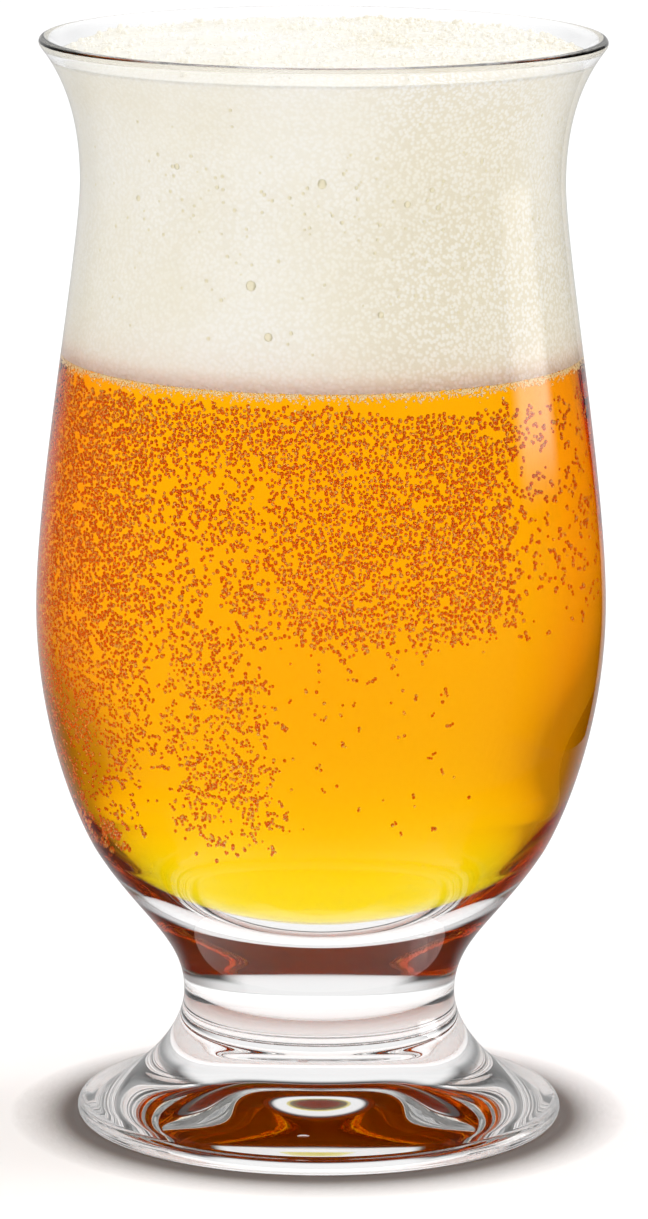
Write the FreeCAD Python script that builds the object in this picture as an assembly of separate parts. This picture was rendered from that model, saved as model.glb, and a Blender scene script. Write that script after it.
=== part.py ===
"""A footed beer glass, filled: one clear glass, the beer in it and the head of foam on the beer.

Everything is round about the Z axis. The origin is the centre of the foot's resting face, and +Z is up.
Sizes are millimetres. A station is a point (radius, height) where the wall turns, and the wall between two
stations is one cubic curve. A reach is how far such a curve runs on along its end's direction.
"""
import FreeCAD, Part
import math
import os

# Overall height, and the rounded lip
HEIGHT = 152.5
RIM_R = 39.05
LIP_R = 0.75
LIP_LEAN = 52.0  # degrees above level at which the flare meets the lip
LIP_REACH = 5.5

# Outside stations from the foot to the waist under the flare
FOOT_R = 34.0
FOOT_EDGE_R = 1.4
FOOT_SLOPE = 10.0  # degrees by which the top of the foot rises from its edge
FOOT_REACH = 6.5
NECK_R = 19.0
NECK_Z = 17.9
NECK_REACH_DOWN = 6.2
NECK_REACH_UP = 8.0
SHOULDER_R = 31.44
SHOULDER_Z = 38.76
SHOULDER_LEAN = 57.8  # degrees above level of the lower bowl
SHOULDER_REACH_DOWN = 11.1
SHOULDER_REACH_UP = 3.6
BELLY_R = 39.66
BELLY_Z = 73.0
BELLY_REACH_DOWN = 17.9
BELLY_REACH_UP = 16.5
WAIST_R = 33.42
WAIST_Z = 132.6
WAIST_REACH_DOWN = 9.2
WAIST_REACH_UP = 8.5

# Inside of the bowl: a thin wall above, and a thick cushion of glass below
WAIST_WALL = 1.7
BELLY_WALL = 1.9
BELLY_LIFT = 1.5  # how much higher the widest place is inside than outside
WAIST_LIFT = 0.6
BELLY_REACH_IN = 14.0
CUSHION_R = 28.2
CUSHION_Z = 45.2
CUSHION_LEAN = 41.0
CUSHION_REACH_DOWN = 8.5
CUSHION_REACH_UP = 9.0
FLOOR_Z = 33.4
FLOOR_REACH = 12.0

# Hollow under the foot, a low bell pressed up from below
REST_R = 31.0  # inner edge of the flat ring that the glass stands on
HOLLOW_H = 3.2
HOLLOW_REACH = 14.4
HOLLOW_KNEE_R = 8.0
HOLLOW_KNEE_Z = 0.3

# Filling: the height of the beer, and how far below the rim the foam ends
BEER_Z = 108.4
FOAM_BELOW_RIM = 1.6
FOAM_CROWN_R = 1050.0  # the top of the foam is as flat as a ball of this radius

# A disc that cuts the filling to its height is wider than the bowl at any level
DISC_R = BELLY_R + RIM_R


def point(r, z):
    return FreeCAD.Vector(r, 0, z)


def along(degrees, reach):
    """A step of the given length at an angle above level, away from the axis."""
    angle = math.radians(degrees)
    return FreeCAD.Vector(reach * math.cos(angle), 0, reach * math.sin(angle))


def curve(*poles):
    bezier = Part.BezierCurve()
    bezier.setPoles(list(poles))
    return bezier


def edge(geometry):
    return geometry.toShape()


def round_arc(centre, radius, start, end):
    """The edge of an arc about centre, between two angles in degrees."""
    middle = centre + along((start + end) / 2, radius)
    return edge(Part.Arc(centre + along(start, radius), middle, centre + along(end, radius)))


def straight(start, end):
    return edge(Part.LineSegment(start, end))


def lip_centre():
    return point(RIM_R - LIP_R, HEIGHT - LIP_R)


def foot_edge_centre():
    return point(FOOT_R - FOOT_EDGE_R, FOOT_EDGE_R)


def outer_wall():
    """Edges of the outside, from the top of the foot's edge up to the lip."""
    foot = foot_edge_centre() + along(90 - FOOT_SLOPE, FOOT_EDGE_R)
    neck = point(NECK_R, NECK_Z)
    shoulder = point(SHOULDER_R, SHOULDER_Z)
    belly = point(BELLY_R, BELLY_Z)
    waist = point(WAIST_R, WAIST_Z)
    lip = lip_centre() + along(LIP_LEAN - 90, LIP_R)
    return [
        edge(curve(foot, foot + along(180 - FOOT_SLOPE, FOOT_REACH),
                   neck - along(90, NECK_REACH_DOWN), neck)),
        edge(curve(neck, neck + along(90, NECK_REACH_UP),
                   shoulder - along(SHOULDER_LEAN, SHOULDER_REACH_DOWN), shoulder)),
        edge(curve(shoulder, shoulder + along(SHOULDER_LEAN, SHOULDER_REACH_UP),
                   belly - along(90, BELLY_REACH_DOWN), belly)),
        edge(curve(belly, belly + along(90, BELLY_REACH_UP), waist - along(90, WAIST_REACH_DOWN), waist)),
        edge(curve(waist, waist + along(90, WAIST_REACH_UP), lip - along(LIP_LEAN, LIP_REACH), lip)),
    ]


def inner_wall():
    """Edges of the inside, from the lip down to the middle of the bowl's floor."""
    lip = lip_centre() + along(LIP_LEAN + 90, LIP_R)
    waist = point(WAIST_R - WAIST_WALL, WAIST_Z + WAIST_LIFT)
    belly = point(BELLY_R - BELLY_WALL, BELLY_Z + BELLY_LIFT)
    cushion = point(CUSHION_R, CUSHION_Z)
    floor = point(0, FLOOR_Z)
    return [
        edge(curve(lip, lip - along(LIP_LEAN, LIP_REACH), waist + along(90, WAIST_REACH_UP), waist)),
        edge(curve(waist, waist - along(90, WAIST_REACH_DOWN), belly + along(90, BELLY_REACH_UP), belly)),
        edge(curve(belly, belly - along(90, BELLY_REACH_IN),
                   cushion + along(CUSHION_LEAN, CUSHION_REACH_UP), cushion)),
        edge(curve(cushion, cushion - along(CUSHION_LEAN, CUSHION_REACH_DOWN),
                   floor + along(0, FLOOR_REACH), floor)),
    ]


def underside():
    """Edges of the hollow under the foot and of the flat ring round it, from the axis outwards."""
    top = point(0, HOLLOW_H)
    knee = point(HOLLOW_KNEE_R, HOLLOW_KNEE_Z)
    rest = point(REST_R, 0)
    hollow = curve(top, top + along(0, HOLLOW_REACH), knee, rest)
    return [edge(hollow), straight(rest, point(FOOT_R - FOOT_EDGE_R, 0))]


def turned(edges):
    """The solid swept by a closed outline that starts and ends on the axis."""
    face = Part.Face(Part.Wire(edges))
    return face.revolve(FreeCAD.Vector(0, 0, 0), FreeCAD.Vector(0, 0, 1), 360)


def glass():
    """Bowl, stem and foot in one piece: the outline of the whole section, turned once."""
    outline = underside()
    outline.append(round_arc(foot_edge_centre(), FOOT_EDGE_R, -90, 90 - FOOT_SLOPE))
    outline += outer_wall()
    outline.append(round_arc(lip_centre(), LIP_R, LIP_LEAN - 90, LIP_LEAN + 90))
    outline += inner_wall()
    outline.append(straight(point(0, FLOOR_Z), point(0, HOLLOW_H)))
    return turned(outline)


def bowl_space():
    """The inside of the bowl as a solid, up to the level of the lip."""
    inside = inner_wall()
    top = point(0, inside[0].Vertexes[0].Z)
    return turned([straight(top, inside[0].Vertexes[0].Point)] + inside + [straight(point(0, FLOOR_Z), top)])


def disc(low, high):
    """A flat disc between two heights."""
    return Part.makeCylinder(DISC_R, high - low, point(0, low))


def domed_disc(low, high, radius):
    """A disc with a top that is part of a ball of the given radius."""
    half_angle = math.degrees(math.asin(DISC_R / radius))
    centre = point(0, high - radius)
    top_edge = centre + along(90 - half_angle, radius)
    bottom_edge = point(DISC_R, low)
    return turned([
        round_arc(centre, radius, 90, 90 - half_angle),
        straight(top_edge, bottom_edge),
        straight(bottom_edge, point(0, low)),
        straight(point(0, low), point(0, high)),
    ])


def beer():
    """The beer fills the bowl from its floor to the beer's level."""
    return bowl_space().common(disc(0, BEER_Z))


def foam():
    """The head fills the bowl above the beer, and its top is a little higher in the middle."""
    return bowl_space().common(domed_disc(BEER_Z, HEIGHT - FOAM_BELOW_RIM, FOAM_CROWN_R))


os.makedirs("parts", exist_ok=True)
for name, shape in (("glass", glass()), ("beer", beer()), ("foam", foam())):
    solid = shape.Solids[0]
    solid.exportStep("parts/" + name + ".step")
    litres = solid.Volume / 1e6
    print(name, "valid", solid.isValid(), "solids", len(shape.Solids), "litres", round(litres, 4))
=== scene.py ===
# %% [markdown]
# # A footed glass of beer
# The real thing is one piece of clear glass: a bowl with a flared lip and a thick floor, a short solid
# stem, and a wide foot with a shallow hollow pressed into its underside. It holds a pale beer, full of gas
# bubbles, and a head of foam. The CAD frame has those three solids. Here each one gets a smooth mesh from
# the same turned outline, and then the small things that the CAD leaves out: bubbles on the wall, froth on
# the foam and a seed of air in the stem.

# %% Load the frame
import itertools
import math
import random
import bmesh
import bpy
from mathutils import Matrix, Vector, noise
from mathutils.bvhtree import BVHTree
from mathutils.geometry import interpolate_bezier


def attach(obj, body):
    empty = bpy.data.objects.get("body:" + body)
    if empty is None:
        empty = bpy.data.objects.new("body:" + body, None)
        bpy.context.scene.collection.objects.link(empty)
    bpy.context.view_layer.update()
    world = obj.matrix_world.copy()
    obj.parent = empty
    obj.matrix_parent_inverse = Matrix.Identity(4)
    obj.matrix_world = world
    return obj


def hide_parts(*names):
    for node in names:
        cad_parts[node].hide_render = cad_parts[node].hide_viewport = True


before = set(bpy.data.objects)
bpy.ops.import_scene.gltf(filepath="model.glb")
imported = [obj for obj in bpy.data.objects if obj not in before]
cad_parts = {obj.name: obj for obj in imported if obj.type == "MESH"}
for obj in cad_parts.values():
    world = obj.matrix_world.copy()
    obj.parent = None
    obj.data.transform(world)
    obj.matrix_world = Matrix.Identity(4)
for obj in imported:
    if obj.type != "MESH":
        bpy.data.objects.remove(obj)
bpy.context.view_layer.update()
scene = bpy.context.scene

# %% [markdown]
# ## The camera
# The photograph was fitted with a long lens, a little over 92 cm from the glass's axis and looking down by
# 11 degrees. The camera is also rolled by a quarter of a degree, and the glass stands 3 pixels left of the
# middle, so the lens is shifted by that much. A camera can be built in many ways. Here its turn is two
# plain rotations multiplied together, tilt first and roll second, because that is how a photographer sets a
# tripod head.

# %% Set up the camera
FRAME_HIGH = 1219.0
FOCAL_PIXELS = 6785.76
SENSOR_HIGH = 36.0
CAMERA_PLACE = (0.0, -0.92706, 0.25621)
LOOKS_DOWN = 0.195781  # radians
ROLL = math.radians(0.265)
AXIS_LEFT_OF_MIDDLE = 3.0  # pixels
NEAREST_SEEN = 0.05


def set_camera():
    lens = bpy.data.cameras.new("camera")
    lens.sensor_fit = "VERTICAL"
    lens.sensor_height = SENSOR_HIGH
    lens.lens = FOCAL_PIXELS / FRAME_HIGH * SENSOR_HIGH
    lens.shift_x = AXIS_LEFT_OF_MIDDLE / FRAME_HIGH
    lens.clip_start = NEAREST_SEEN
    camera = bpy.data.objects.new("camera", lens)
    tilt = Matrix.Rotation(math.pi / 2 - LOOKS_DOWN, 4, "X")
    camera.matrix_world = Matrix.Translation(CAMERA_PLACE) @ tilt @ Matrix.Rotation(ROLL, 4, "Z")
    scene.collection.objects.link(camera)
    scene.camera = camera
    return camera


print("lens in mm:", round(set_camera().data.lens, 1))

# %% [markdown]
# ## Sizes
# The outline is the one that the solids were turned from, so the sizes carry the same names and values. A
# station is a point where the wall turns, and a reach says how far a curve runs on along its end's
# direction: in Blender's words, the length of a Bezier handle.

# %% Sizes of the glass in millimetres and degrees
MM = 0.001
HEIGHT = 152.5
RIM_R = 39.05
LIP_R = 0.75
LIP_LEAN = 52.0
LIP_REACH = 5.5
FOOT_R = 34.0
FOOT_EDGE_R = 1.4
FOOT_SLOPE = 10.0
FOOT_REACH = 6.5
NECK_R = 19.0
NECK_Z = 17.9
NECK_REACH_DOWN = 6.2
NECK_REACH_UP = 8.0
SHOULDER_R = 31.44
SHOULDER_Z = 38.76
SHOULDER_LEAN = 57.8
SHOULDER_REACH_DOWN = 11.1
SHOULDER_REACH_UP = 3.6
BELLY_R = 39.66
BELLY_Z = 73.0
BELLY_REACH_DOWN = 17.9
BELLY_REACH_UP = 16.5
WAIST_R = 33.42
WAIST_Z = 132.6
WAIST_REACH_DOWN = 9.2
WAIST_REACH_UP = 8.5
WAIST_WALL = 1.7
BELLY_WALL = 1.9
BELLY_LIFT = 1.5
WAIST_LIFT = 0.6
BELLY_REACH_IN = 14.0
CUSHION_R = 28.2
CUSHION_Z = 45.2
CUSHION_LEAN = 41.0
CUSHION_REACH_DOWN = 8.5
CUSHION_REACH_UP = 9.0
FLOOR_Z = 33.4
FLOOR_REACH = 12.0
REST_R = 31.0
HOLLOW_H = 3.2
HOLLOW_REACH = 14.4
HOLLOW_KNEE_R = 8.0
HOLLOW_KNEE_Z = 0.3

# %% Sizes of the filling
BEER_Z = 108.4
FOAM_TOP_Z = 150.9
FOAM_CROWN = 0.7
FILM = 0.04  # the hair's breadth of room between the filling's skin and the glass's

# %% [markdown]
# ## Drawing the outline
# Blender can work out the points of a cubic curve by itself, with interpolate_bezier, the same routine that
# draws its curve objects. A point here lies in the XZ plane: x is the radius and z the height.

# %% Points, steps and curves
CURVE_STEPS = 22
HOLLOW_STEPS = 48  # the hollow mirrors the whole room, so its curve is the finest
ARC_STEPS = 10


def spot(radius, height):
    return Vector((radius, 0, height)) * MM


def along(degrees, reach):
    """A step of the given length at an angle above level, away from the axis."""
    angle = math.radians(degrees)
    return Vector((math.cos(angle), 0, math.sin(angle))) * reach * MM


def curve(start, start_handle, end_handle, end, steps=CURVE_STEPS):
    return interpolate_bezier(start, start_handle, end_handle, end, steps)


def arc(centre, radius, start, end):
    return [centre + along(start + (end - start) * i / ARC_STEPS, radius) for i in range(ARC_STEPS + 1)]


# %% The stations of the wall
lip_centre = spot(RIM_R - LIP_R, HEIGHT - LIP_R)
foot_edge_centre = spot(FOOT_R - FOOT_EDGE_R, FOOT_EDGE_R)
foot = foot_edge_centre + along(90 - FOOT_SLOPE, FOOT_EDGE_R)
neck = spot(NECK_R, NECK_Z)
shoulder = spot(SHOULDER_R, SHOULDER_Z)
belly = spot(BELLY_R, BELLY_Z)
waist = spot(WAIST_R, WAIST_Z)
lip_outside = lip_centre + along(LIP_LEAN - 90, LIP_R)
lip_inside = lip_centre + along(LIP_LEAN + 90, LIP_R)
waist_inside = spot(WAIST_R - WAIST_WALL, WAIST_Z + WAIST_LIFT)
belly_inside = spot(BELLY_R - BELLY_WALL, BELLY_Z + BELLY_LIFT)
cushion = spot(CUSHION_R, CUSHION_Z)
bowl_floor = spot(0, FLOOR_Z)

# %% The three runs of the outline
outside = arc(foot_edge_centre, FOOT_EDGE_R, -90, 90 - FOOT_SLOPE)
outside += curve(foot, foot + along(180 - FOOT_SLOPE, FOOT_REACH), neck - along(90, NECK_REACH_DOWN), neck)
outside += curve(neck, neck + along(90, NECK_REACH_UP),
                 shoulder - along(SHOULDER_LEAN, SHOULDER_REACH_DOWN), shoulder)
outside += curve(shoulder, shoulder + along(SHOULDER_LEAN, SHOULDER_REACH_UP),
                 belly - along(90, BELLY_REACH_DOWN), belly)
outside += curve(belly, belly + along(90, BELLY_REACH_UP), waist - along(90, WAIST_REACH_DOWN), waist)
outside += curve(waist, waist + along(90, WAIST_REACH_UP),
                 lip_outside - along(LIP_LEAN, LIP_REACH), lip_outside)

inside = curve(lip_inside, lip_inside - along(LIP_LEAN, LIP_REACH),
               waist_inside + along(90, WAIST_REACH_UP), waist_inside)
inside += curve(waist_inside, waist_inside - along(90, WAIST_REACH_DOWN),
                belly_inside + along(90, BELLY_REACH_UP), belly_inside)
inside += curve(belly_inside, belly_inside - along(90, BELLY_REACH_IN),
                cushion + along(CUSHION_LEAN, CUSHION_REACH_UP), cushion)
inside += curve(cushion, cushion - along(CUSHION_LEAN, CUSHION_REACH_DOWN),
                bowl_floor + along(0, FLOOR_REACH), bowl_floor)

underside = curve(spot(0, HOLLOW_H), spot(HOLLOW_REACH, HOLLOW_H),
                  spot(HOLLOW_KNEE_R, HOLLOW_KNEE_Z), spot(REST_R, 0), HOLLOW_STEPS)
print("outline points:", len(underside) + len(outside) + len(inside))

# %% [markdown]
# ## Turning a piece
# Everything on this glass is round, so one spin makes each skin. The spin of an outline that touches the
# axis leaves a ring of points piled up on the axis, and where the turn closes. Merging them closes the
# skin, and only then are the normals worked out again.

# %% Spin an outline into a skin
ROUND_STEPS = 256
WELD = 1e-6


def turned(outline, steps=ROUND_STEPS):
    bm = bmesh.new()
    corners = [bm.verts.new(p) for p in outline]
    sides = [bm.edges.new(pair) for pair in zip(corners, corners[1:])]
    bmesh.ops.spin(bm, geom=corners + sides, cent=(0, 0, 0), axis=(0, 0, 1), angle=2 * math.pi,
                   steps=steps, use_merge=True)
    bmesh.ops.remove_doubles(bm, verts=bm.verts, dist=WELD)
    bmesh.ops.recalc_face_normals(bm, faces=bm.faces)
    return bm


# %% Make a piece of the object
def piece(name, bm, slot, *materials):
    """Turn a finished skin into an object that stands with the glass and takes the given materials. The slot
    is not used.
    """
    mesh = bpy.data.meshes.new(name)
    bm.to_mesh(mesh)
    bm.free()
    mesh.shade_smooth()
    for material in materials:
        mesh.materials.append(material)
    made = bpy.data.objects.new(name, mesh)
    scene.collection.objects.link(made)
    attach(made, "root")
    print(name, "has", sum(len(p.vertices) - 2 for p in mesh.polygons), "triangles")
    return made


# %% [markdown]
# ## Materials by nodes
# Two small helpers keep the node code readable: one adds a node and fills in its sockets, and one makes a
# material and hands back its tree and its Principled shader.

# %% Helpers for nodes
def add_node(tree, kind, sockets=None, **settings):
    node = tree.nodes.new(kind)
    for name, value in settings.items():
        setattr(node, name, value)
    for name, value in (sockets or {}).items():
        if isinstance(value, bpy.types.NodeSocket):
            tree.links.new(value, node.inputs[name])
        else:
            node.inputs[name].default_value = value
    return node


def new_material(name, sockets):
    """A material and its Principled shader, with the given sockets set."""
    material = bpy.data.materials.new(name)
    material.use_nodes = True
    shader = material.node_tree.nodes["Principled BSDF"]
    for socket, value in sockets.items():
        shader.inputs[socket].default_value = value
    return material, shader


# %% Helpers for sums in nodes
def smooth_range(tree, value, ends, results):
    return add_node(tree, "ShaderNodeMapRange", {
        "Value": value, "From Min": ends[0], "From Max": ends[1], "To Min": results[0], "To Max": results[1],
    }, interpolation_type="SMOOTHSTEP").outputs["Result"]


def maths(tree, operation, first, second):
    node = add_node(tree, "ShaderNodeMath", operation=operation)
    for socket, value in zip(node.inputs, (first, second)):
        if isinstance(value, bpy.types.NodeSocket):
            tree.links.new(value, socket)
        else:
            socket.default_value = value
    return node.outputs["Value"]


def colour_mix(tree, factor, first, second):
    """Blend two colours; each may be a plain colour or another node's output."""
    node = add_node(tree, "ShaderNodeMix", {"Factor": factor}, data_type="RGBA", clamp_factor=True)
    for socket, value in ((node.inputs[6], first), (node.inputs[7], second)):
        if isinstance(value, bpy.types.NodeSocket):
            tree.links.new(value, socket)
        else:
            socket.default_value = value
    return node.outputs[2]


# %% [markdown]
# ## Clear glass
# Light bends where one stuff ends and another begins, and by how much depends on both. Where the glass
# meets air, the ratio of their indices is 1.5. Where it meets beer or the wet foam it is 1.5 / 1.34, only
# 1.12. A single skin with two materials says that: one for the dry faces and one for the wetted ones. The
# other way, a second skin of beer that overlaps the glass, gives the same picture but needs solids that cut
# into each other. Pressed glass is never quite even, so a very weak noise tilts its normals.

# %% Glass materials
GLASS_INDEX = 1.5
BEER_INDEX = 1.34
RIPPLE = 0.02
RIPPLE_SCALE = 70.0


def clear_glass(name, index, ripple):
    """Glass for a skin with the given ratio of indices, whose normals tilt a little where it ripples."""
    material, shader = new_material(name, {
        "Base Color": (1.0, 1.0, 1.0, 1.0), "Roughness": 0.0, "IOR": index, "Transmission Weight": 1.0})
    tree = material.node_tree
    place = add_node(tree, "ShaderNodeTexCoord")
    waves = add_node(tree, "ShaderNodeTexNoise", {
        "Vector": place.outputs["Object"], "Scale": RIPPLE_SCALE, "Detail": 1.0, "Roughness": 0.4})
    bump = add_node(tree, "ShaderNodeBump",
                    {"Strength": ripple, "Distance": MM, "Height": waves.outputs["Fac"]})
    tree.links.new(bump.outputs["Normal"], shader.inputs["Normal"])
    return material


dry_glass = clear_glass("clear_glass", GLASS_INDEX, RIPPLE)
wet_glass = clear_glass("clear_glass_against_beer", GLASS_INDEX / BEER_INDEX, RIPPLE)

# %% [markdown]
# ## The glass
# One closed outline from the hollow's top, round the foot and up the outside, over the rounded lip and down
# the inside to the middle of the bowl's floor. The wetted faces are cut apart at the height of the foam's
# edge, and found by their normals: inside the bowl a normal points up or towards the axis.

# %% Turn the glass
WETTED_OVER_Z = 30.0
TOWARDS_AXIS = 0.02


def is_wetted(face, top_z):
    centre = face.calc_center_median()
    outwards = Vector((centre.x, centre.y, 0)).normalized()
    return WETTED_OVER_Z * MM < centre.z < top_z and face.normal.dot(outwards) < TOWARDS_AXIS


def make_glass():
    lip = arc(lip_centre, LIP_R, LIP_LEAN - 90, LIP_LEAN + 90)
    bm = turned(underside + outside + lip + inside)
    wet_top = (FOAM_TOP_Z - FOAM_CROWN) * MM
    bmesh.ops.bisect_plane(bm, geom=bm.verts[:] + bm.edges[:] + bm.faces[:], dist=WELD,
                           plane_co=(0, 0, wet_top), plane_no=(0, 0, 1))
    for face in bm.faces:
        face.material_index = int(is_wetted(face, wet_top))
    return piece("glass_bowl_stem_and_foot", bm, "clear_glass", dry_glass, wet_glass)


glass = make_glass()
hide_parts("glass")


# %% [markdown]
# ## The beer
# Beer is a clear liquid that swallows blue light first, then green, and hardly any red. So the colour isn't
# painted on its surface: the skin lets all light through, and a volume takes each colour away by the length
# of beer that the light has crossed. That makes it yellow where the bowl is narrow and orange across the
# belly, as it really is. Volume Absorption takes away density times one minus the colour, per metre.

# %% Beer material
BEER_LETS_THROUGH = (0.9972, 0.967, 0.05, 1.0)
BEER_DENSITY = 400.0


def beer_material():
    material, _ = new_material("pale_beer", {
        "Base Color": (1.0, 1.0, 1.0, 1.0), "Roughness": 0.0, "IOR": 1.0, "Transmission Weight": 1.0})
    tree = material.node_tree
    swallow = add_node(tree, "ShaderNodeVolumeAbsorption",
                       {"Color": BEER_LETS_THROUGH, "Density": BEER_DENSITY})
    tree.links.new(swallow.outputs["Volume"], tree.nodes["Material Output"].inputs["Volume"])
    return material


beer_stuff = beer_material()


# %% The bowl's radius at a height
def inner_radius(height):
    """Radius of the bowl's inside at a height in metres, straight between the outline's points."""
    for over, under in zip(inside, inside[1:]):
        if over.z >= height > under.z:
            share = (height - under.z) / (over.z - under.z)
            return under.x + (over.x - under.x) * share
    return 0.0


# %% Turn the beer
def make_beer():
    level = (BEER_Z - FILM) * MM
    wall = [p for p in inside if p.z < level - WELD]
    skin = [Vector((max(p.x - FILM * MM, 0), 0, p.z + FILM * MM / 2)) for p in wall]
    top = [Vector((0, 0, level)), Vector((inner_radius(level) - FILM * MM, 0, level))]
    return piece("beer_in_bowl", turned(top + skin), "beer", beer_stuff)


beer = make_beer()
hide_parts("beer")

# %% [markdown]
# ## The foam
# Foam is a heap of tiny wet bubbles that throws back nearly all light, so it is a matt off-white, whiter in
# one place and creamier in another. Through the glass one sees its cells: a Voronoi pattern gives them
# their size, darkens their borders a little and dents the surface. They show best on the right. The top is
# open to the air, so its lumps are real geometry: the spun grid is lifted by noise.
# Seen the long way round, up through the beer from the foot or the neck, foam looks brown and dim. That is
# painted shade: a Light Path node tells such light by the number of skins that it has crossed, and the foam's
# colour then turns to a painted brown. Its underside, over the beer, is painted the same brown shade.

# %% Foam material
FOAM_WHITE = (0.95, 0.94, 0.905, 1.0)
FOAM_CREAM = (0.925, 0.90, 0.82, 1.0)
FOAM_CELL = (0.83, 0.78, 0.65, 1.0)
# painted shade: the dim brown given to foam, bubbles and beads seen deep through the beer
PAINTED_SHADE_BROWN = (0.20, 0.11, 0.05, 1.0)
CELL_SCALE = 1800.0
CELL_BORDER = (0.35, 0.62)  # share of a cell's size at which its border starts and is darkest
CELL_DENT = 0.4
CELL_DEPTH = 0.0002
PATCH_SCALE = 60.0
PATCH_RANGE = (0.35, 0.7)
COARSE_SCALE = 28.0
COARSE_RANGE = (0.34, 0.6)
COARSE_SHARES = (0.45, 1.0)
COARSE_SIDE = (-0.004, 0.018)  # metres across the glass over which the cells come to show
SIDE_SHARES = (0.35, 1.0)
BENT_OFTEN = (3.5, 4.5)  # light that has crossed this many skins has come round through the beer
NONE_YET = 0.5  # a count of bounces or skins below this is none at all


def foam_material():
    material, shader = new_material("beer_foam", {"Roughness": 0.6, "Specular IOR Level": 0.3})
    tree = material.node_tree
    place = add_node(tree, "ShaderNodeTexCoord").outputs["Object"]
    cells = add_node(tree, "ShaderNodeTexVoronoi", {"Vector": place, "Scale": CELL_SCALE, "Randomness": 1.0})
    patches = add_node(tree, "ShaderNodeTexNoise", {"Vector": place, "Scale": PATCH_SCALE, "Detail": 4.0})
    coarse = add_node(tree, "ShaderNodeTexNoise", {"Vector": place, "Scale": COARSE_SCALE, "Detail": 2.0})
    border = smooth_range(tree, cells.outputs["Distance"], CELL_BORDER, (0.0, 1.0))
    across = add_node(tree, "ShaderNodeSeparateXYZ", {"Vector": place}).outputs["X"]
    open_share = maths(tree, "MULTIPLY",
                       smooth_range(tree, coarse.outputs["Fac"], COARSE_RANGE, COARSE_SHARES),
                       smooth_range(tree, across, COARSE_SIDE, SIDE_SHARES))
    plain = colour_mix(tree, smooth_range(tree, patches.outputs["Fac"], PATCH_RANGE, (0.0, 1.0)),
                       FOAM_WHITE, FOAM_CREAM)
    celled = colour_mix(tree, maths(tree, "MULTIPLY", border, open_share), plain, FOAM_CELL)
    # Painted shade: foam seen through many skins turns brown in its colour.
    path = add_node(tree, "ShaderNodeLightPath")
    crossed = smooth_range(tree, path.outputs["Transmission Depth"], BENT_OFTEN, (0.0, 1.0))
    first = maths(tree, "LESS_THAN", path.outputs["Diffuse Depth"], NONE_YET)
    seen = colour_mix(tree, maths(tree, "MULTIPLY", crossed, first), celled, PAINTED_SHADE_BROWN)
    tree.links.new(seen, shader.inputs["Base Color"])
    bump = add_node(tree, "ShaderNodeBump",
                    {"Strength": CELL_DENT, "Distance": CELL_DEPTH, "Height": cells.outputs["Distance"]})
    tree.links.new(bump.outputs["Normal"], shader.inputs["Normal"])
    return material


foam_stuff = foam_material()
# Painted shade: the foam's underside, over the beer, gets the painted brown shade rather than a colour of its
# own.
foam_underside_painted_shade, _ = new_material("foam_underside_painted_shade", {"Base Color": PAINTED_SHADE_BROWN, "Roughness": 1.0,
                                              "Specular IOR Level": 0.0})

# %% Turn the foam
RING_STEP = 0.4
FOAM_ROUND_STEPS = 320
LUMP = 0.42
LUMP_SCALE = 120
FINE_LUMP = 0.5  # as a share of the large lumps
FINE_LUMP_SCALE = 330
GRAIN = 0.30
GRAIN_SCALE = 700
HEAP = 0.95  # how far the middle of the open top stands above its edge's level
HEAP_EDGE = 3.2
UNDER_THE_LIP = 0.15
TOP_LIMIT = HEIGHT - UNDER_THE_LIP


def froth(place):
    """How far the open surface of the foam stands up at a place, in metres."""
    lump = noise.noise(place * LUMP_SCALE) + FINE_LUMP * noise.noise(place * FINE_LUMP_SCALE)
    near, next_near = noise.voronoi(place * GRAIN_SCALE)[0][:2]
    return (HEAP + LUMP * lump + GRAIN * (next_near - near)) * MM


def make_foam():
    edge_z = (FOAM_TOP_Z - FOAM_CROWN) * MM
    edge_r = inner_radius(edge_z) - FILM * MM
    rings = int(edge_r / (RING_STEP * MM))
    top = [Vector((edge_r * i / rings, 0, edge_z + FOAM_CROWN * MM * (1 - (i / rings) ** 2)))
           for i in range(rings + 1)]
    wall = [Vector((p.x - FILM * MM, 0, p.z)) for p in inside if BEER_Z * MM < p.z < edge_z - WELD]
    under = [Vector((inner_radius(BEER_Z * MM) - FILM * MM, 0, BEER_Z * MM)), Vector((0, 0, BEER_Z * MM))]
    bm = turned(top + wall + under, FOAM_ROUND_STEPS)
    for vert in bm.verts:
        radius = math.hypot(vert.co.x, vert.co.y)
        if vert.co.z >= edge_z - WELD:
            inwards = min(1.0, (edge_r - radius) / (HEAP_EDGE * MM))
            vert.co.z = min(vert.co.z + froth(vert.co) * max(inwards, 0), TOP_LIMIT * MM)
    bmesh.ops.recalc_face_normals(bm, faces=bm.faces)
    for face in bm.faces:
        face.material_index = int(face.calc_center_median().z < BEER_Z * MM + WELD)
    return piece("foam_head", bm, "foam", foam_stuff, foam_underside_painted_shade)


foam = make_foam()
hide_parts("foam")

# %% [markdown]
# ## Gas bubbles
# A bubble in beer is a ball of air, so light that enters it goes from index 1.34 to 1: its ratio is the
# inverse, 0.75. It throws light aside, so against the bright beer a bubble shows as a brown dot with a pale
# glint. Each is only a few pixels across, so a ball of two dozen faces with smooth shading is enough. The
# brown and the glint are also painted: a matt share, brown with pale noise spots, is a painted reflection of
# the many skins that a real bubble mirrors. The bubbles cling to the inside of the wall, in clusters and
# chains, dense under the foam and thin below. From the foot or the neck one sees them through centimetres of
# beer, and there the matt share turns to a painted brown shade: a Light Path node gives the length of the
# ray that met them.

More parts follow.
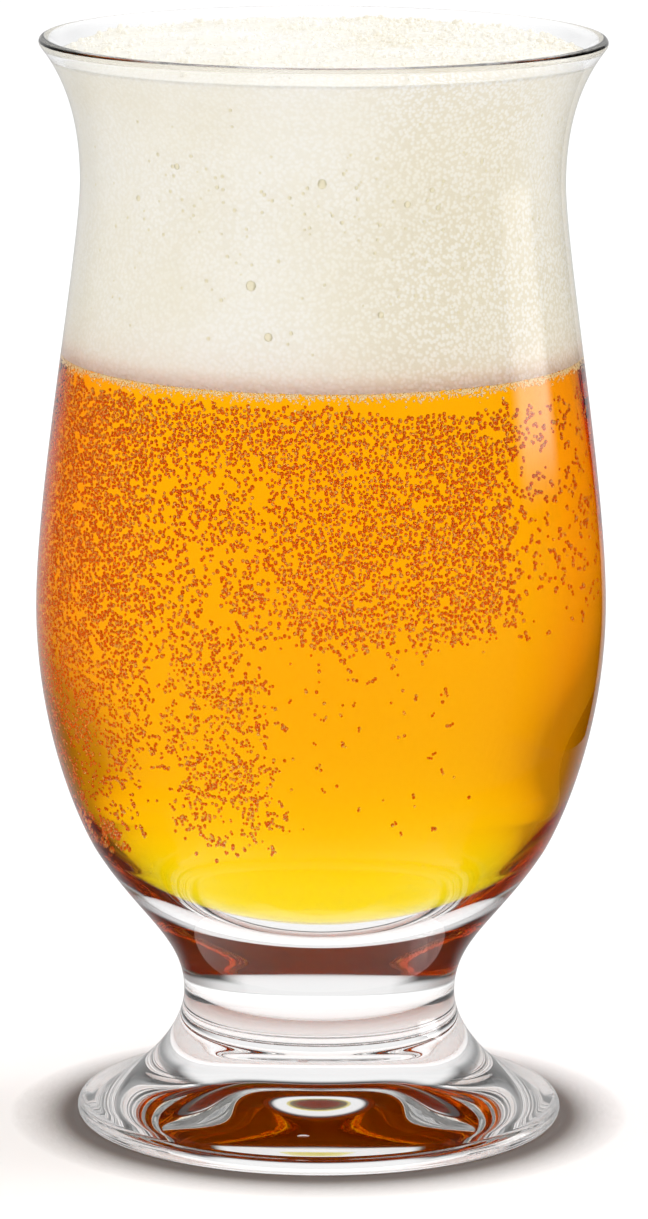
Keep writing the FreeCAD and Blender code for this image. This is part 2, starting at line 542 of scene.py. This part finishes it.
# %% Bubble material
# Painted reflection: a brown ring colour and pale glint spots in a matt share stand in for light the bubble
# bends and mirrors.
BUBBLE_PAINTED_RING_BROWN = (0.88, 0.17, 0.006, 1.0)
BUBBLE_PAINTED_GLINT = (0.98, 0.62, 0.16, 1.0)
GLINT_SCALE = 2600.0
GLINT_RANGE = (0.52, 0.62)
PAINTED_LOOK_SHARE = 0.75
DEEP_IN_BEER = (0.03, 0.045)  # metres of beer between a bubble and the wall that one looks in through


def painted_shade_share(tree):
    """Share of painted brown shade: 1 for light that comes straight from a ball deep in the beer, 0 at the
    near wall.
    """
    path = add_node(tree, "ShaderNodeLightPath")
    far = smooth_range(tree, path.outputs["Ray Length"], DEEP_IN_BEER, (0.0, 1.0))
    return maths(tree, "MULTIPLY", far, maths(tree, "LESS_THAN", path.outputs["Diffuse Depth"], NONE_YET))


def bubble_material():
    material = bpy.data.materials.new("gas_bubble")
    material.use_nodes = True
    tree = material.node_tree
    tree.nodes.remove(tree.nodes["Principled BSDF"])
    ball = add_node(tree, "ShaderNodeBsdfGlass", {"Roughness": 0.0, "IOR": 1.0 / BEER_INDEX})
    place = add_node(tree, "ShaderNodeTexCoord").outputs["Object"]
    glints = add_node(tree, "ShaderNodeTexNoise", {"Vector": place, "Scale": GLINT_SCALE, "Detail": 1.0})
    painted_glint_mask = smooth_range(tree, glints.outputs["Fac"], GLINT_RANGE, (0.0, 1.0))
    near = colour_mix(tree, painted_glint_mask, BUBBLE_PAINTED_RING_BROWN, BUBBLE_PAINTED_GLINT)
    skin = colour_mix(tree, painted_shade_share(tree), near, PAINTED_SHADE_BROWN)
    painted_look = add_node(tree, "ShaderNodeBsdfDiffuse", {"Color": skin})
    both = add_node(tree, "ShaderNodeMixShader", {"Fac": PAINTED_LOOK_SHARE})
    tree.links.new(ball.outputs["BSDF"], both.inputs[1])
    tree.links.new(painted_look.outputs["BSDF"], both.inputs[2])
    tree.links.new(both.outputs["Shader"], tree.nodes["Material Output"].inputs["Surface"])
    return material


bubble_stuff = bubble_material()

# %% Make many small balls
BALL_SIDES = 6
BALL_RINGS = 4


def balls(places):
    """One skin of many small balls: one ball is stamped once for each place, then each copy is put there."""
    bm = bmesh.new()
    bmesh.ops.create_uvsphere(bm, u_segments=BALL_SIDES, v_segments=BALL_RINGS, radius=1)
    corners = len(bm.verts)
    stamp = bpy.data.meshes.new("stamp")
    bm.to_mesh(stamp)
    bm.clear()
    for _ in places:
        bm.from_mesh(stamp)
    bpy.data.meshes.remove(stamp)
    for index, vert in enumerate(bm.verts):
        centre, radius = places[index // corners]
        vert.co = centre + vert.co * radius
    return bm


# %% [markdown]
# ## Where the bubbles are
# The front of the wall has five areas: a broad band under the foam, a thinner window in it, the left side,
# a leaning column below the window, and a few strays at the right and right at the bottom. A function gives
# the density at each place, and seeded dice then say yes or no. In the lists below a pair is where a soft
# step starts and ends, in millimetres to the right of the axis (X) or above the table (Z).

# %% Areas with bubbles
BAND_Z = (72, 81)
BAND_X = (28, 19)
BAND_LEAST = 0.05
WINDOW_MIDDLE = -13.5
WINDOW_HALF = (13, 7)
WINDOW_Z = (103, 95)
WINDOW_THINS = 0.72
LEFT_X = (-21, -26)
LEFT_Z = (40, 48)
LEFT_DENSER_Z = (50, 78)
LEFT_LEAST = 0.12
LEFT_GAIN = 0.58
COLUMN_MIDDLE = -15
COLUMN_TOP = 72
COLUMN_LEAN = 0.12
COLUMN_HALF = (9, 4)
COLUMN_FROM_Z = (43, 52)
COLUMN_TO_Z = (82, 74)
COLUMN_SHARE = 0.30
STRAY_Z = (58, 68)
STRAY_X = (20, 10)
STRAY_SHARE = 0.03
LOWEST_Z = (44, 50)
LOWEST_X = (24, 14)
LOWEST_SHARE = 0.006
BACK_Z = (100, 103)
BACK_SHARE = 0.8


# %% How thickly bubbles cling
def fade(value, start, end):
    """0 before start, 1 after end and a soft step between; start may be the larger one."""
    share = max(0.0, min(1.0, (value - start) / (end - start)))
    return share * share * (3 - 2 * share)


def front_bubbles(x, z):
    """How thickly bubbles cling to the front of the wall, from 0 to 1, x and z in millimetres."""
    band = fade(z, *BAND_Z) * (BAND_LEAST + (1 - BAND_LEAST) * fade(x, *BAND_X))
    band *= 1 - WINDOW_THINS * (fade(abs(x - WINDOW_MIDDLE), *WINDOW_HALF) * fade(z, *WINDOW_Z))
    left = fade(x, *LEFT_X) * (LEFT_LEAST + LEFT_GAIN * fade(z, *LEFT_DENSER_Z)) * fade(z, *LEFT_Z)
    off_column = abs(x - COLUMN_MIDDLE - (COLUMN_TOP - z) * COLUMN_LEAN)
    column = fade(off_column, *COLUMN_HALF) * fade(z, *COLUMN_FROM_Z) * fade(z, *COLUMN_TO_Z) * COLUMN_SHARE
    stray = STRAY_SHARE * fade(z, *STRAY_Z) * fade(x, *STRAY_X)
    stray += LOWEST_SHARE * fade(z, *LOWEST_Z) * fade(x, *LOWEST_X)
    return max(band, left, column, stray)


def back_bubbles(z):
    """The same for the back of the wall, where they keep to the top."""
    return BACK_SHARE * fade(z, *BACK_Z)


# %% Scatter the bubbles
BUBBLE_SMALL = 0.20
BUBBLE_LARGE = 0.36
BUBBLE_TRIES = 125000
BUBBLE_SEED = 7
LOWEST_TRY = 41
CLEAR_UNDER_FOAM = 1.6
CLEAR_MORE = 1.6
CLEAR_MORE_X = (0, 12)
CHAIN_CHANCE = 0.70
CHAIN_STEP = 1.7  # in radii, so that the links of a chain run into each other
MERGE = 0.75
SIDE_FADE = (14, -2)  # millimetres behind the middle, where the bubbles of the front thin out
SIZE_LOW = 0.78  # bubbles near the bottom are smaller, and grow to full size over SIZE_Z
SIZE_GAIN = 0.22
SIZE_Z = (60, 84)
PATCHY_MEAN = 0.85
PATCHES = ((9, 0.22, 0, 0.8), (26, 0.7, 5, 0.5))  # scale round, scale up, place in the noise, and strength
NEIGHBOURS = list(itertools.product((-1, 0, 1), repeat=3))


def on_wall(turn, height, off):
    """A point a given way off the bowl's inside, all in metres, with the turn in radians from the front."""
    radius = inner_radius(height) - off
    return Vector((radius * math.sin(turn), -radius * math.cos(turn), height))


def cling(dice, turn, height):
    """Whether a bubble clings there."""
    x = inner_radius(height) * math.sin(turn) / MM
    z = height / MM
    clear = CLEAR_UNDER_FOAM + CLEAR_MORE * fade(x, *CLEAR_MORE_X)
    behind = -inner_radius(height) * math.cos(turn) / MM
    thick = max(front_bubbles(x, z) * fade(behind, *SIDE_FADE), back_bubbles(z) if behind > 0 else 0)
    patchy = PATCHY_MEAN
    for scale_round, scale_up, layer, strength in PATCHES:
        patchy += strength * noise.noise(Vector((turn * scale_round, z * scale_up, layer)))
    return z < BEER_Z - clear - dice.random() and dice.random() < thick * patchy


def scatter_bubbles():
    dice = random.Random(BUBBLE_SEED)
    cell = 2 * BUBBLE_LARGE * MM
    taken = {}
    places = []

    def place(turn, height):
        share = SIZE_LOW + SIZE_GAIN * fade(height / MM, *SIZE_Z)
        radius = dice.uniform(BUBBLE_SMALL, BUBBLE_LARGE) * share * MM
        centre = on_wall(turn, height, radius + 2 * FILM * MM)
        key = tuple(int(v // cell) for v in centre)
        for step in NEIGHBOURS:
            near = tuple(k + d for k, d in zip(key, step))
            if any((centre - other).length < (radius + size) * MERGE for other, size in taken.get(near, ())):
                return None
        taken.setdefault(key, []).append((centre, radius))
        places.append((centre, radius))
        return radius

    for _ in range(BUBBLE_TRIES):
        turn = dice.uniform(-math.pi, math.pi)
        height = dice.uniform(LOWEST_TRY, BEER_Z) * MM
        if not cling(dice, turn, height):
            continue
        radius = place(turn, height)
        while radius and dice.random() < CHAIN_CHANCE:
            heading = dice.uniform(0, 2 * math.pi)
            turn += CHAIN_STEP * radius * math.cos(heading) / inner_radius(height)
            height += CHAIN_STEP * radius * math.sin(heading)
            radius = place(turn, height) if height < (BEER_Z - CLEAR_UNDER_FOAM) * MM else None
    return places


# %% Make the bubbles, in four shares so that no piece gets too heavy
bubbles = scatter_bubbles()
front = sorted((b for b in bubbles if b[0].y < 0), key=lambda b: b[0].x)
third = len(front) // 3
shares = {"bubbles_front_left": front[:third], "bubbles_front_middle": front[third:2 * third],
          "bubbles_front_right": front[2 * third:], "bubbles_back": [b for b in bubbles if b[0].y >= 0]}
for name, share in shares.items():
    piece(name, balls(share), "beer", bubble_stuff)
print("bubbles:", len(bubbles))

# %% [markdown]
# ## The foam's lower edge
# Where foam meets beer the border isn't a clean line: single cells of foam hang a little way down the wall.
# They are the same small balls in a creamy matt, which like the bubbles turns to a painted brown shade when
# seen from deep below.

# %% Beads under the foam
BEADS = 4400
BEAD_SEED = 11
BEAD_SMALL = 0.09
BEAD_LARGE = 0.20
BEAD_SPREAD = 0.6
BEAD_CREAM = (0.97, 0.82, 0.5, 1.0)


def edge_beads():
    dice = random.Random(BEAD_SEED)
    places = []
    for _ in range(BEADS):
        radius = dice.uniform(BEAD_SMALL, BEAD_LARGE) * MM
        height = (BEER_Z - abs(dice.gauss(0, BEAD_SPREAD))) * MM
        places.append((on_wall(dice.uniform(-math.pi, math.pi), height, radius + 2 * FILM * MM), radius))
    return places


def bead_material():
    material, shader = new_material("foam_edge_bead", {"Roughness": 0.6})
    tree = material.node_tree
    # Painted shade: seen from deep below, the beads turn brown in their colour.
    tree.links.new(colour_mix(tree, painted_shade_share(tree), BEAD_CREAM, PAINTED_SHADE_BROWN), shader.inputs["Base Color"])
    return material


piece("foam_edge_beads", balls(edge_beads()), "foam", bead_material())

# %% [markdown]
# ## Large bubbles in the foam
# Here and there small bubbles have joined into a large one. Pressed against the wall it shows as a flat
# yellowish disc, because one looks through it at the wet foam behind. A ball squashed along the bowl's
# radius does that: it keeps within the hair's breadth between the foam and the glass. On the open top whole
# bubbles stand up.

# %% Squash balls against the wall
DISC_FLAT = 0.02


def wall_normal(centre):
    """The way straight out through the bowl's wall beside a point."""
    slope = (inner_radius(centre.z + MM) - inner_radius(centre.z - MM)) / (2 * MM)
    return Vector((centre.x, centre.y, -slope * math.hypot(centre.x, centre.y))).normalized()


def discs(places):
    bm = balls(places)
    corners = len(bm.verts) // len(places)
    for index, vert in enumerate(bm.verts):
        centre = places[index // corners][0]
        outwards = wall_normal(centre)
        vert.co -= outwards * (vert.co - centre).dot(outwards) * (1 - DISC_FLAT)
        vert.co -= outwards * ((vert.co - centre).length / (2 * centre.xy.length)) * (vert.co - centre).length
    return bm


# %% Place the large bubbles
LARGE_BUBBLES = (  # turn from the front in degrees, height and radius in millimetres
    (-0.2, 136.4, 0.72), (20.4, 133.4, 0.50), (26.7, 135.2, 0.38), (28.4, 132.7, 0.38), (-16.7, 122.5, 0.74),
    (-12.2, 115.8, 0.62), (13.4, 118.8, 0.48), (-49.7, 132.8, 0.45), (-36.7, 137.9, 0.45))
MIDDLING = 260
MIDDLING_SEED = 5
MIDDLING_TURN = (0.4, 1.1)  # mean and spread in radians from the front
MIDDLING_Z = (112, 147, 134)  # lowest, highest and most common
MIDDLING_R = (0.14, 0.30)
DISC_OFF = 0.02
DISC_CREAM = (0.86, 0.81, 0.63, 1.0)

foam_bubble, _ = new_material("foam_large_bubble", {"Base Color": DISC_CREAM, "Roughness": 0.7,
                                                    "Specular IOR Level": 0.2})


def wall_discs():
    dice = random.Random(MIDDLING_SEED)
    places = [(math.radians(turn), height, radius) for turn, height, radius in LARGE_BUBBLES]
    for _ in range(MIDDLING):
        height = dice.triangular(*MIDDLING_Z)
        places.append((dice.gauss(*MIDDLING_TURN), height, dice.uniform(*MIDDLING_R)))
    return [(on_wall(turn, height * MM, DISC_OFF * MM), radius * MM) for turn, height, radius in places]


piece("foam_wall_bubbles", discs(wall_discs()), "foam", foam_bubble)

# %% Froth on the open top
FROTH_BUBBLES = 1500
FROTH_SEED = 3
FROTH_FROM_WALL = 1.5
FROTH_LEAST = 0.35
FROTH_X = (-12, 12)
FROTH_Y = (-30, 10)
FROTH_SMALL = 0.18
FROTH_LARGE = 0.65
FROTH_RATE = 7.0


def top_froth():
    """Bubbles on the open top, thickest at the back right."""
    dice = random.Random(FROTH_SEED)
    places = []
    while len(places) < FROTH_BUBBLES:
        spread = Vector((dice.uniform(-1, 1), dice.uniform(-1, 1), 0)) * inner_radius(FOAM_TOP_Z * MM - MM)
        if spread.length > inner_radius(FOAM_TOP_Z * MM - MM) - FROTH_FROM_WALL * MM:
            continue
        thick = fade(spread.x / MM, *FROTH_X) * fade(spread.y / MM, *FROTH_Y)
        if dice.random() > FROTH_LEAST + (1 - FROTH_LEAST) * thick:
            continue
        radius = min(FROTH_LARGE, FROTH_SMALL + dice.expovariate(FROTH_RATE)) * MM
        top = bvh.ray_cast(Vector((spread.x, spread.y, HEIGHT * MM)), Vector((0, 0, -1)))[0]
        if top:
            centre = Vector((top.x, top.y, min(top.z, TOP_LIMIT * MM - radius)))
            places.append((centre, radius))
    return places


bvh = BVHTree.FromPolygons([v.co for v in foam.data.vertices], [p.vertices[:] for p in foam.data.polygons])
piece("foam_top_froth", balls(top_froth()), "foam", foam_stuff)

# %% [markdown]
# ## A seed of air
# Hand-worked glass often has a seed, a small bubble of air drawn long by the work. Here one hangs in the
# stem. Light enters it from glass, so its ratio is 1 / 1.5.

# %% The seed in the stem
SEED_PLACE = (-1.9, -11.0, 9.6)
SEED_SIZE = (0.75, 0.3, 0.22)
SEED_SIDES = 24


def make_seed():
    bm = bmesh.new()
    bmesh.ops.create_uvsphere(bm, u_segments=SEED_SIDES, v_segments=SEED_SIDES // 2, radius=MM)
    bmesh.ops.scale(bm, verts=bm.verts, vec=SEED_SIZE)
    bmesh.ops.translate(bm, verts=bm.verts, vec=Vector(SEED_PLACE) * MM)
    return piece("air_seed_in_stem", bm, "clear_glass", clear_glass("air_in_glass", 1 / GLASS_INDEX, 0.0))


make_seed()

# %% [markdown]
# ## The studio
# The beer glows because it is lit from behind: the room has a bright panel there, narrower than what the
# bowl can see of it. Everything else that the glass can mirror or bend towards the camera is darker, and
# that draws the brown edges, the dark band in the neck and the lines in the foot. One soft box on the right
# makes the long upright highlight. The world node does the room: a Light Path node gives plain white to the
# camera and to matt surfaces, a room with a panel to light that the glass bends, and a dark room to its
# mirror images.
# Towards its sides the photographed beer is more amber than absorption alone makes it. So the room gets that
# tint where light comes in from aside and has crossed many skins, and the floor gets it too, as painted light
# in its colour.

# %% The floor
FLOOR_SIZE = 12.0
FLOOR_PALE = (0.955, 0.96, 0.97, 1.0)
FLOOR_AMBER = (0.92, 0.56, 0.30, 1.0)
# A contact shadow is painted into the floor's colour: its dark colour, reach, steepness and samples.
FLOOR_PAINTED_SHADOW = (0.17, 0.15, 0.14, 1.0)
SHADE_REACH = 0.0098
SHADE_DEPTH = 18.0
SHADE_SAMPLES = 32
PAINTED_LAMP_HALF = (0.15, 0.7)  # painted light: seen through the glass, the floor's colour dims between these distances to either side
PAINTED_UNLIT_SHARE = 0.55
AMBER_SIDES = (0.05, 0.8)  # share of sideways to away, seen through the beer


def stage_plane(name, size, place, turn, material):
    bpy.ops.mesh.primitive_plane_add(size=size, location=place, rotation=turn)
    plane = bpy.context.object
    plane.name = name
    plane.data.materials.append(material)
    return plane


def floor_material():
    material, shader = new_material("pale_floor", {"Roughness": 1.0, "Specular IOR Level": 0.0})
    tree = material.node_tree
    # Painted shadow: for camera rays an ambient occlusion node darkens the floor's colour near the glass.
    nearby = add_node(tree, "ShaderNodeAmbientOcclusion", {"Distance": SHADE_REACH}, samples=SHADE_SAMPLES)
    deep = maths(tree, "POWER", nearby.outputs["AO"], SHADE_DEPTH)
    path = add_node(tree, "ShaderNodeLightPath")
    seen = path.outputs["Is Camera Ray"]
    open_share = maths(tree, "MAXIMUM", deep, maths(tree, "SUBTRACT", 1.0, seen))
    place = add_node(tree, "ShaderNodeTexCoord").outputs["Object"]
    split = add_node(tree, "ShaderNodeSeparateXYZ", {"Vector": place})
    aside = maths(tree, "ABSOLUTE", split.outputs["X"], 0.0)
    # Painted light: through the glass the floor dims towards its sides, a lamp's pool painted in its colour.
    painted_lamp_pool = maths(tree, "MAXIMUM", smooth_range(tree, aside, PAINTED_LAMP_HALF, (1.0, PAINTED_UNLIT_SHARE)), seen)
    # Painted light: seen sideways through the beer, the floor's colour turns amber.
    sideways = maths(tree, "DIVIDE", aside, maths(tree, "MAXIMUM", split.outputs["Y"], MM))
    crossed = maths(tree, "GREATER_THAN", path.outputs["Transmission Depth"], BENT_OFTEN[1])
    first = maths(tree, "LESS_THAN", path.outputs["Diffuse Depth"], NONE_YET)
    amber = maths(tree, "MULTIPLY", smooth_range(tree, sideways, AMBER_SIDES, (0.0, 1.0)),
                  maths(tree, "MULTIPLY", crossed, first))
    paint = colour_mix(tree, amber, FLOOR_PALE, FLOOR_AMBER)
    tint = colour_mix(tree, maths(tree, "MULTIPLY", open_share, painted_lamp_pool), FLOOR_PAINTED_SHADOW, paint)
    tree.links.new(tint, shader.inputs["Base Color"])
    return material


floor = stage_plane("floor", FLOOR_SIZE, (0, 0, 0), (0, 0, 0), floor_material())
floor.visible_glossy = False

# %% The room, by share of the direction to the right (X), away (Y) and up (Z)
WHITE_ROOM = 1.2
WHITE = (1.0, 1.0, 1.0, 1.0)
WARM_FRONT = (1.0, 0.985, 0.955, 1.0)
FRONT_SHARE = 0.92
FRONT_Y = (-1.0, 0.2)
PANEL = 0.95
PANEL_X = (0.35, 0.6)
PANEL_Y = (0.0, 0.3)
PANEL_Z = (0.55, 0.8)
HORIZON_BACK = 0.88
HORIZON_SIDE = 0.50
HORIZON_FRONT = 0.42
HORIZON_X = (0.45, 0.8)
HORIZON_Y = (-0.2, 0.3)
HORIZON_Z = (0.15, 0.4)
MIRRORED_FRONT = 0.02
MIRRORED_BACK = 0.5
MIRRORED_RISE = (0.7, 1.0)
CEILING = 0.09


def make_room():
    world = bpy.data.worlds.new("studio")
    scene.world = world
    world.use_nodes = True
    tree = world.node_tree
    direction = add_node(tree, "ShaderNodeTexCoord").outputs["Generated"]
    split = add_node(tree, "ShaderNodeSeparateXYZ", {"Vector": direction})
    path = add_node(tree, "ShaderNodeLightPath")
    across = maths(tree, "ABSOLUTE", split.outputs["X"], 0.0)
    panel = maths(tree, "MULTIPLY", smooth_range(tree, across, PANEL_X, (PANEL, 0.0)),
                  smooth_range(tree, split.outputs["Z"], PANEL_Z, (1.0, 0.0)))
    panel = maths(tree, "MULTIPLY", panel, smooth_range(tree, split.outputs["Y"], PANEL_Y, (0.0, 1.0)))
    through = maths(tree, "GREATER_THAN", path.outputs["Transmission Depth"], NONE_YET)
    horizon = maths(tree, "MINIMUM", smooth_range(tree, across, HORIZON_X, (HORIZON_BACK, HORIZON_SIDE)),
                    smooth_range(tree, split.outputs["Y"], HORIZON_Y, (HORIZON_FRONT, HORIZON_BACK)))
    horizon = maths(tree, "MULTIPLY", horizon,
                    smooth_range(tree, split.outputs["Z"], HORIZON_Z, (1.0, 0.0)))
    bent = maths(tree, "MAXIMUM", maths(tree, "MAXIMUM", panel, horizon), CEILING)
    mirrored = smooth_range(tree, split.outputs["Y"], MIRRORED_RISE, (MIRRORED_FRONT, MIRRORED_BACK))
    choice = add_node(tree, "ShaderNodeMix", {"Factor": through}, data_type="FLOAT")
    tree.links.new(mirrored, choice.inputs[2])
    tree.links.new(bent, choice.inputs[3])
    matt = maths(tree, "GREATER_THAN", path.outputs["Diffuse Depth"], NONE_YET)
    plain = maths(tree, "MAXIMUM", matt, path.outputs["Is Camera Ray"])
    front = maths(tree, "MULTIPLY", smooth_range(tree, split.outputs["Y"], FRONT_Y, (1.0, 0.0)), matt)
    warm = colour_mix(tree, front, WHITE, WARM_FRONT)
    crossed = maths(tree, "GREATER_THAN", path.outputs["Transmission Depth"], BENT_OFTEN[1])
    amber = maths(tree, "MULTIPLY", smooth_range(tree, across, AMBER_SIDES, (0.0, 1.0)),
                  maths(tree, "MULTIPLY", crossed, maths(tree, "SUBTRACT", 1.0, matt)))
    warm = colour_mix(tree, amber, warm, FLOOR_AMBER)
    tree.links.new(warm, tree.nodes["Background"].inputs["Color"])
    white = maths(tree, "MULTIPLY", smooth_range(tree, front, (0.0, 1.0), (1.0, FRONT_SHARE)), WHITE_ROOM)
    strength = add_node(tree, "ShaderNodeMix", {"Factor": plain}, data_type="FLOAT")
    tree.links.new(choice.outputs[0], strength.inputs[2])
    tree.links.new(white, strength.inputs[3])
    tree.links.new(strength.outputs[0], tree.nodes["Background"].inputs["Strength"])


make_room()

# %% The soft box at the right
BOX_TURN = math.radians(102.5)
BOX_RISE = math.radians(12)
BOX_AWAY = 0.9
BOX_HIGHER = 0.1
BOX_SIZE = (0.5, 0.82, 1.0)
BOX_STRENGTH = 5.8
BOX_ACROSS = (0.22, 0.5)  # its sides fade between these shares of its width
BOX_LOWER = (-0.45, -0.36)


def cloth_paint():
    """The glow of the box's cloth, which fades out at its sides and at its lower edge."""
    material = bpy.data.materials.new("soft_box_cloth")
    material.use_nodes = True
    tree = material.node_tree
    tree.nodes.remove(tree.nodes["Principled BSDF"])
    place = add_node(tree, "ShaderNodeTexCoord").outputs["Object"]
    split = add_node(tree, "ShaderNodeSeparateXYZ", {"Vector": place})
    across = maths(tree, "ABSOLUTE", split.outputs["X"], 0.0)
    cloth = maths(tree, "MULTIPLY", smooth_range(tree, across, BOX_ACROSS, (BOX_STRENGTH, 0.0)),
                  smooth_range(tree, split.outputs["Y"], BOX_LOWER, (0.0, 1.0)))
    glow = add_node(tree, "ShaderNodeEmission", {"Strength": cloth})
    tree.links.new(glow.outputs["Emission"], tree.nodes["Material Output"].inputs["Surface"])
    return material


def make_soft_box():
    away = Vector((math.sin(BOX_TURN) * math.cos(BOX_RISE), -math.cos(BOX_TURN) * math.cos(BOX_RISE),
                   math.sin(BOX_RISE)))
    turn = (-away).to_track_quat("Z", "Y").to_euler()
    box = stage_plane("soft_box", 1.0, away * BOX_AWAY + Vector((0, 0, BOX_HIGHER)), turn, cloth_paint())
    box.scale = BOX_SIZE
    box.visible_camera = False
    box.visible_transmission = False


make_soft_box()

# %% [markdown]
# ## A flag beside the glass
# The bowl bulges, so its mirror image of the soft box would run far down the beer. A photographer holds a
# black flag or a grey net between lamp and glass. This one is seen only by mirrored light: solid below, half
# open where the highlight crosses the top of the beer, and a closer net over the foam, which is bright
# enough by itself.

# %% The flag
FLAG_AWAY = 0.085
FLAG_HIGH = 0.11
FLAG_OPAQUE_Z = (0.088, 0.105)
FLAG_THIN_Z = (0.108, 0.117)
FLAG_THIN = 0.47
FLAG_OPEN = 0.55
FLAG_ASIDE = -0.002
FLAG_SIZE = (0.11, 0.16, 1.0)


def make_flag():
    """A net, thicker or thinner by height, that weakens the soft box's mirror image."""
    material = bpy.data.materials.new("flag_net")
    material.use_nodes = True
    tree = material.node_tree
    tree.nodes.remove(tree.nodes["Principled BSDF"])
    high = add_node(tree, "ShaderNodeSeparateXYZ",
                    {"Vector": add_node(tree, "ShaderNodeNewGeometry").outputs["Position"]}).outputs["Z"]
    share = maths(tree, "MULTIPLY", smooth_range(tree, high, FLAG_OPAQUE_Z, (0.0, FLAG_OPEN)),
                  smooth_range(tree, high, FLAG_THIN_Z, (1.0, FLAG_THIN)))
    net = add_node(tree, "ShaderNodeBsdfTransparent", {"Color": share})
    tree.links.new(net.outputs["BSDF"], tree.nodes["Material Output"].inputs["Surface"])
    away = Vector((math.sin(BOX_TURN), -math.cos(BOX_TURN), 0))
    aside = Vector((math.cos(BOX_TURN), math.sin(BOX_TURN), 0))
    flag = stage_plane("flag", 1.0, away * FLAG_AWAY - aside * FLAG_ASIDE + Vector((0, 0, FLAG_HIGH)),
                       away.to_track_quat("Z", "Y").to_euler(), material)
    flag.scale = FLAG_SIZE
    flag.visible_camera = False
    flag.visible_transmission = False
    flag.visible_diffuse = False
    flag.visible_shadow = False


make_flag()

# %% [markdown]
# ## How far light is followed
# A ray can cross a dozen skins and turn back inside the thick glass many times before it leaves, so it may
# bounce far more often than Blender's defaults allow. Where a ray is cut short the glass turns black.

# %% Light paths
BOUNCES = 40
MATT_BOUNCES = 8
CLEAR_BOUNCES = 48

scene.cycles.max_bounces = BOUNCES
scene.cycles.transmission_bounces = BOUNCES
scene.cycles.glossy_bounces = BOUNCES
scene.cycles.diffuse_bounces = MATT_BOUNCES
scene.cycles.transparent_max_bounces = CLEAR_BOUNCES
scene.cycles.caustics_reflective = True
scene.cycles.caustics_refractive = True
scene.cycles.blur_glossy = 0.0
scene.cycles.use_denoising = True
scene.view_settings.view_transform = "Standard"
